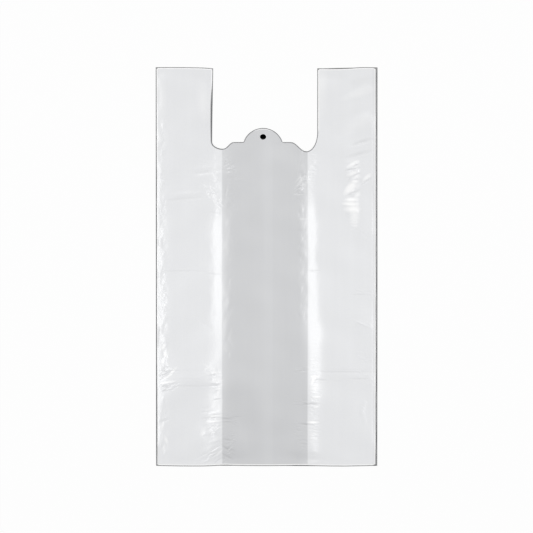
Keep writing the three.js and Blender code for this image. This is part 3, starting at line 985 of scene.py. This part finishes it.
def creased(tree, place_out):
    """The surface's direction where it is creased, the painted shade in its grooves, and its whitening and
    painted highlights.
    """
    height = crinkles(tree, place_out)
    shade, white = 1.0, 0.0
    for *where, depth in SHARP_CREASES:
        tent = spindle(tree, place_out, *where)
        # Grooves are painted darker, as painted shade
        lower, darker = -depth / CRINKLE_HEIGHT, -CREASE_SHADE * max(depth, 0)
        height = add_node(tree, "Math", MULTIPLY_ADD, {0: tent, 1: lower, 2: height}).outputs[0]
        shade = add_node(tree, "Math", MULTIPLY_ADD, {0: tent, 1: darker, 2: shade}).outputs[0]
    # Crease whitening, and painted highlights where the film glints
    for *where, whiteness in WHITENING_AND_HIGHLIGHTS:
        tent = spindle(tree, place_out, *where)
        white = add_node(tree, "Math", MULTIPLY_ADD, {0: tent, 1: whiteness, 2: white}).outputs[0]
    bumped = add_node(tree, "Bump", inputs={
        "Height": height, "Strength": 1.0, "Distance": CRINKLE_HEIGHT * MM})
    return bumped.outputs["Normal"], shade, white


# Painted shade, darker near the handles: the film's brightness near the handles and from the middle down, as
# place along the bag and share
SHADE_ALONG = ((195, 0.955), (-10, 1.003))
# Draw lines: spacing across and length along the bag, the noise's usual range, and their share
DRAW_LINE_SPACING = (9.0, 260.0)
DRAW_LINE_RANGE = (0.25, 0.75)
DRAW_LINE_SHARE = 0.018
# Bands along the bag: start, full, fading, end and how much brighter the film is there
BANDS = ((-15, 2, 5.5, 8.5, 0.03), (119.4, 120.6, 120.8, 122.0, -0.05), (-6, 1, 10, 22, 0.012))


def draw_lines(tree, place_out, axes):
    """The film's faint lengthwise streaks, its slightly thicker band, the fold's line at the right, and
    painted shade near the handles.
    """
    stretched = add_node(tree, "Mapping", TURNED, {
        "Vector": place_out, "Scale": (DRAW_LINE_SPACING[0] * MM, DRAW_LINE_SPACING[1] * MM, 1)})
    streaks = add_node(tree, "TexNoise", FLAT_NOISE, {
        "Vector": stretched.outputs["Vector"], "Scale": 1.0, "Detail": 3.0, "Roughness": 0.6})
    shade = add_node(tree, "MapRange", inputs={
        "Value": streaks.outputs["Fac"], "From Min": DRAW_LINE_RANGE[0], "From Max": DRAW_LINE_RANGE[1],
        "To Min": 1 - DRAW_LINE_SHARE / 2, "To Max": 1 + DRAW_LINE_SHARE / 2})
    (top, top_share), (bottom, bottom_share) = SHADE_ALONG
    darker = add_node(tree, "MapRange", inputs={
        "Value": axes["Y"], "From Min": bottom * MM, "From Max": top * MM,
        "To Min": bottom_share, "To Max": top_share})
    brightness = add_node(tree, "Math", MULTIPLY, {0: shade.outputs["Result"], 1: darker.outputs["Result"]})
    for *places, share in BANDS:
        start, full, fading, end = (value * MM for value in places)
        onset, ending = (
            add_node(tree, "MapRange", SOFT_RANGE, {"Value": axes["X"], "From Min": outer, "From Max": inner})
            for outer, inner in ((start, full), (end, fading)))
        band = add_node(tree, "Math", MULTIPLY, {0: onset.outputs["Result"], 1: ending.outputs["Result"]})
        brightness = add_node(tree, "Math", MULTIPLY_ADD, {
            0: band.outputs[0], 1: share, 2: brightness.outputs[0]})
    return brightness.outputs[0]


# How softly the white of four layers begins at a tuck's fold
FOLD_SOFT = 0.9
# How far in from the outline the painted shade line and the painted highlight line are full, and where they
# are gone
LINE_REACH = {"rim_shade": (0.45, 1.15), "pressed_and_highlight": (1.3, 2.3)}


def blown_film(sizes, colours):
    """Blown high-density polyethylene: a satin, milky film, whiter where more layers lie together."""
    material = bpy.data.materials.new("blown_polyethylene_film")
    tree = bare_tree(material)
    place_out = add_node(tree, "TexCoord").outputs["Object"]
    axes = add_node(tree, "SeparateXYZ", inputs={"Vector": place_out}).outputs
    # The painted highlight just inside each fold, then the white where four layers lie together
    layers_and_fold_highlight = add_node(tree, "Attribute", {"attribute_name": "fold_highlight"}).outputs["Fac"]
    for side, gusset in ((-1, mm(sizes.left_gusset)), (1, mm(sizes.right_gusset))):
        fold = side * (HALF_WIDTH - gusset) * MM
        soft = side * FOLD_SOFT * MM
        outside = add_node(tree, "MapRange", SOFT_RANGE, {
            "Value": axes["X"], "From Min": fold - soft, "From Max": fold + soft})
        layers_and_fold_highlight = add_node(tree, "Math", MAXIMUM, {0: layers_and_fold_highlight, 1: outside.outputs["Result"]}).outputs[0]
    bumped, shade, white = creased(tree, place_out)
    # Painted shade in the creases and near the handles, with the film's own streaks and bands
    shade = add_node(tree, "Math", MULTIPLY, {0: draw_lines(tree, place_out, axes), 1: shade}).outputs[0]
    lines = {}
    for name, (full, gone) in LINE_REACH.items():
        distance = add_node(tree, "Attribute", {"attribute_name": name})
        lines[name] = add_node(tree, "MapRange", SOFT_RANGE, {
            "Value": distance.outputs["Fac"], "From Min": gone, "From Max": full}).outputs["Result"]
    body = (*colours.two_layers, 1)
    for factor, blend, added in (
        (layers_and_fold_highlight, "MIX", (*colours.four_layers, 1)),
        # Crease whitening with painted highlights
        (white, "MIX", (*colours.pressed_and_highlight, 1)),
        (1.0, "MULTIPLY", shade),
        # A light line painted inside the outline: painted highlight, partly the pressed welds
        (lines["pressed_and_highlight"], "MIX", (*colours.pressed_and_highlight, 1)),
        # A dark line painted along the outline: painted shade
        (lines["rim_shade"], "MIX", (*colours.rim_shade, 1)),
    ):
        body = add_node(tree, "Mix", {"data_type": "RGBA", "blend_type": blend}, {
            "Factor": factor, "A": body, "B": added}).outputs["Result"]
    surface = add_node(tree, "BsdfPrincipled", inputs={
        "Base Color": body, "Roughness": 0.42, "IOR": 1.54, "Specular IOR Level": 0.6, "Normal": bumped,
        "Coat Weight": 0.75, "Coat Roughness": 0.24, "Coat IOR": 1.54, "Coat Normal": bumped})
    add_node(tree, "OutputMaterial", inputs={"Surface": surface.outputs["BSDF"]})
    return material


# Operators

class OBJECT_OT_film_bag(bpy.types.Operator):
    """Builds the bag: a flat gusseted tube, welded, punched and sprung apart"""
    bl_idname = "object.film_bag"
    bl_label = "Film bag"

    def execute(self, context):
        sizes = context.scene.film_bag_sizes
        bag = flat_tube(sizes)
        weld(bag, sizes)
        punch_out(bag, sizes)
        mark_rim(bag, sizes)
        mark_crinkles(bag)
        mark_fold_highlight(bag, sizes)
        set_points(bag.data, stray(spring_apart(points_of(bag.data), sizes), sizes))
        place(bag)
        only(bag)
        bpy.ops.object.shade_smooth_by_angle(angle=math.radians(SMOOTH_ANGLE))
        bag.data.materials.clear()
        bag.data.materials.append(blown_film(sizes, context.scene.film_bag_colours))
        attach(bag, "root")
        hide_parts(NODE)
        return {"FINISHED"}


class OBJECT_OT_bag_table(bpy.types.Operator):
    """Lays out the pale table, the softboxes, the room's fill light and the camera"""
    bl_idname = "object.bag_table"
    bl_label = "Table, light and camera"

    def execute(self, context):
        stage = context.scene.film_bag_stage
        sizes = context.scene.film_bag_sizes
        table(sizes)
        softboxes(stage)
        room(context.scene, stage)
        camera(context.scene, stage)
        context.scene.view_settings.view_transform = "Standard"
        return {"FINISHED"}


TABLE_SIZE_M = 8.0
TABLE_DROP = 0.3
TABLE_WHITE = "#F3F3F3"
# How much of the table's look is an even white, the rest being lit and shaded by the bag
EVEN_SHARE = 0.93
# The table is black this far round the hang hole's middle, because the hole looks black
HOLE_SHADE_REACH = 9.0


def table(sizes):
    bpy.ops.object.select_all(action="DESELECT")
    bpy.ops.mesh.primitive_plane_add(size=TABLE_SIZE_M, location=(0, 0, CAD_LOW.z - TABLE_DROP * MM))
    top = bpy.context.object
    top.name = "table_top"
    top.data.materials.append(table_white(sizes))


def seen_directly(tree):
    """1 for what is seen, also in a mirror or through something clear, and 0 for the light on things."""
    rays = add_node(tree, "LightPath").outputs
    mirrored = add_node(tree, "Math", MAXIMUM, {0: rays["Is Camera Ray"], 1: rays["Is Glossy Ray"]})
    return add_node(tree, "Math", MAXIMUM, {
        0: mirrored.outputs[0], 1: rays["Is Transmission Ray"]}).outputs[0]


def table_white(sizes):
    """A white table seen evenly bright, with the bag's faint shadow on it and black under its hole."""
    material = bpy.data.materials.new("white_table_board")
    tree = bare_tree(material)
    hole_x, hole_y = hole_middle(sizes)
    place_out = add_node(tree, "TexCoord").outputs["Object"]
    offset = add_node(tree, "VectorMath", {"operation": "DISTANCE"}, {
        0: place_out, 1: (hole_x * MM, hole_y * MM, 0)})
    clear = add_node(tree, "Math", {"operation": "GREATER_THAN"}, {
        0: offset.outputs["Value"], 1: HOLE_SHADE_REACH * MM}).outputs[0]
    board = add_node(tree, "Mix", {"data_type": "RGBA"}, {
        "Factor": clear, "A": (0, 0, 0, 1), "B": (*linear(TABLE_WHITE), 1)})
    diffuse = add_node(tree, "BsdfDiffuse", inputs={"Color": board.outputs["Result"]})
    glow = add_node(tree, "Emission", inputs={"Color": (1, 1, 1, 1), "Strength": clear})
    share = add_node(tree, "Math", MULTIPLY, {0: seen_directly(tree), 1: EVEN_SHARE})
    mixed = add_node(tree, "MixShader", inputs={
        "Fac": share.outputs[0], 1: diffuse.outputs["BSDF"], 2: glow.outputs["Emission"]})
    add_node(tree, "OutputMaterial", inputs={"Surface": mixed.outputs["Shader"]})
    return material


# Softboxes, in metres: tilt, distance and length of all, then name, bearing in degrees and width
SOFTBOX_TILT = math.radians(25)
SOFTBOX_DISTANCE = 3.5
SOFTBOX_LENGTH = 1.86
SOFTBOXES = (("softbox_left", 180, 0.93), ("softbox_right", 0, 0.93), ("softbox_far", 90, 0.62))


def softboxes(stage):
    """Softboxes left, right and beyond the bag, which its banks and creases mirror."""
    for name, bearing, width in SOFTBOXES:
        turn = math.radians(bearing)
        lamp = bpy.data.lights.new(name, "AREA")
        lamp.shape = "RECTANGLE"
        lamp.size = width
        lamp.size_y = SOFTBOX_LENGTH
        # An area lamp's power is its radiance times pi times its area
        lamp.energy = stage.lamp_radiance * math.pi * width * SOFTBOX_LENGTH
        box = bpy.data.objects.new(name, lamp)
        reach = SOFTBOX_DISTANCE * math.sin(SOFTBOX_TILT)
        height = SOFTBOX_DISTANCE * math.cos(SOFTBOX_TILT)
        box.location = (reach * math.cos(turn), reach * math.sin(turn), height)
        box.rotation_euler = (0, SOFTBOX_TILT, turn)
        bpy.context.collection.objects.link(box)


def room(scene, stage):
    world = bpy.data.worlds.new("room")
    tree = bare_tree(world)
    strength = add_node(tree, "Mix", {"data_type": "FLOAT"}, {
        "Factor": seen_directly(tree), "A": stage.fill, "B": 1.0})
    glow = add_node(tree, "Background", inputs={
        "Color": (1, 1, 1, 1), "Strength": strength.outputs["Result"]})
    add_node(tree, "OutputWorld", inputs={"Surface": glow.outputs["Background"]})
    scene.world = world


SENSOR_WIDTH = 36.0
CLIP_END_M = 50


def camera(scene, stage):
    data = bpy.data.cameras.new("camera")
    data.sensor_width = SENSOR_WIDTH
    data.lens = SENSOR_WIDTH * stage.camera_height / stage.view_width
    data.clip_end = CLIP_END_M
    eye = bpy.data.objects.new("camera", data)
    eye.location = (0, 0, stage.camera_height)
    scene.collection.objects.link(eye)
    scene.camera = eye


class VIEW3D_PT_film_bag(bpy.types.Panel):
    bl_label = "Film carrier bag"
    bl_idname = "VIEW3D_PT_film_bag"
    bl_space_type = "VIEW_3D"
    bl_region_type = "UI"
    bl_category = "Carrier Bag"

    def draw(self, context):
        for group_name, group in GROUPS.items():
            box = self.layout.box()
            box.label(text=group_name.split("_")[-1].title())
            for name in group.__annotations__:
                box.prop(getattr(context.scene, group_name), name)
        for operator in (OBJECT_OT_film_bag, OBJECT_OT_bag_table):
            self.layout.operator(operator.bl_idname)


GROUPS = {
    "film_bag_sizes": FilmBagSizes,
    "film_bag_colours": FilmBagColours,
    "film_bag_stage": FilmBagStage,
}
CLASSES = (*GROUPS.values(), OBJECT_OT_film_bag, OBJECT_OT_bag_table, VIEW3D_PT_film_bag)


def register():
    for item in CLASSES:
        bpy.utils.register_class(item)
    for name, group in GROUPS.items():
        setattr(bpy.types.Scene, name, PointerProperty(type=group))


def unregister():
    for name in GROUPS:
        delattr(bpy.types.Scene, name)
    for item in reversed(CLASSES):
        bpy.utils.unregister_class(item)


def main():
    register()
    bpy.ops.object.film_bag()
    bpy.ops.object.bag_table()


if __name__ == "__main__":
    main()
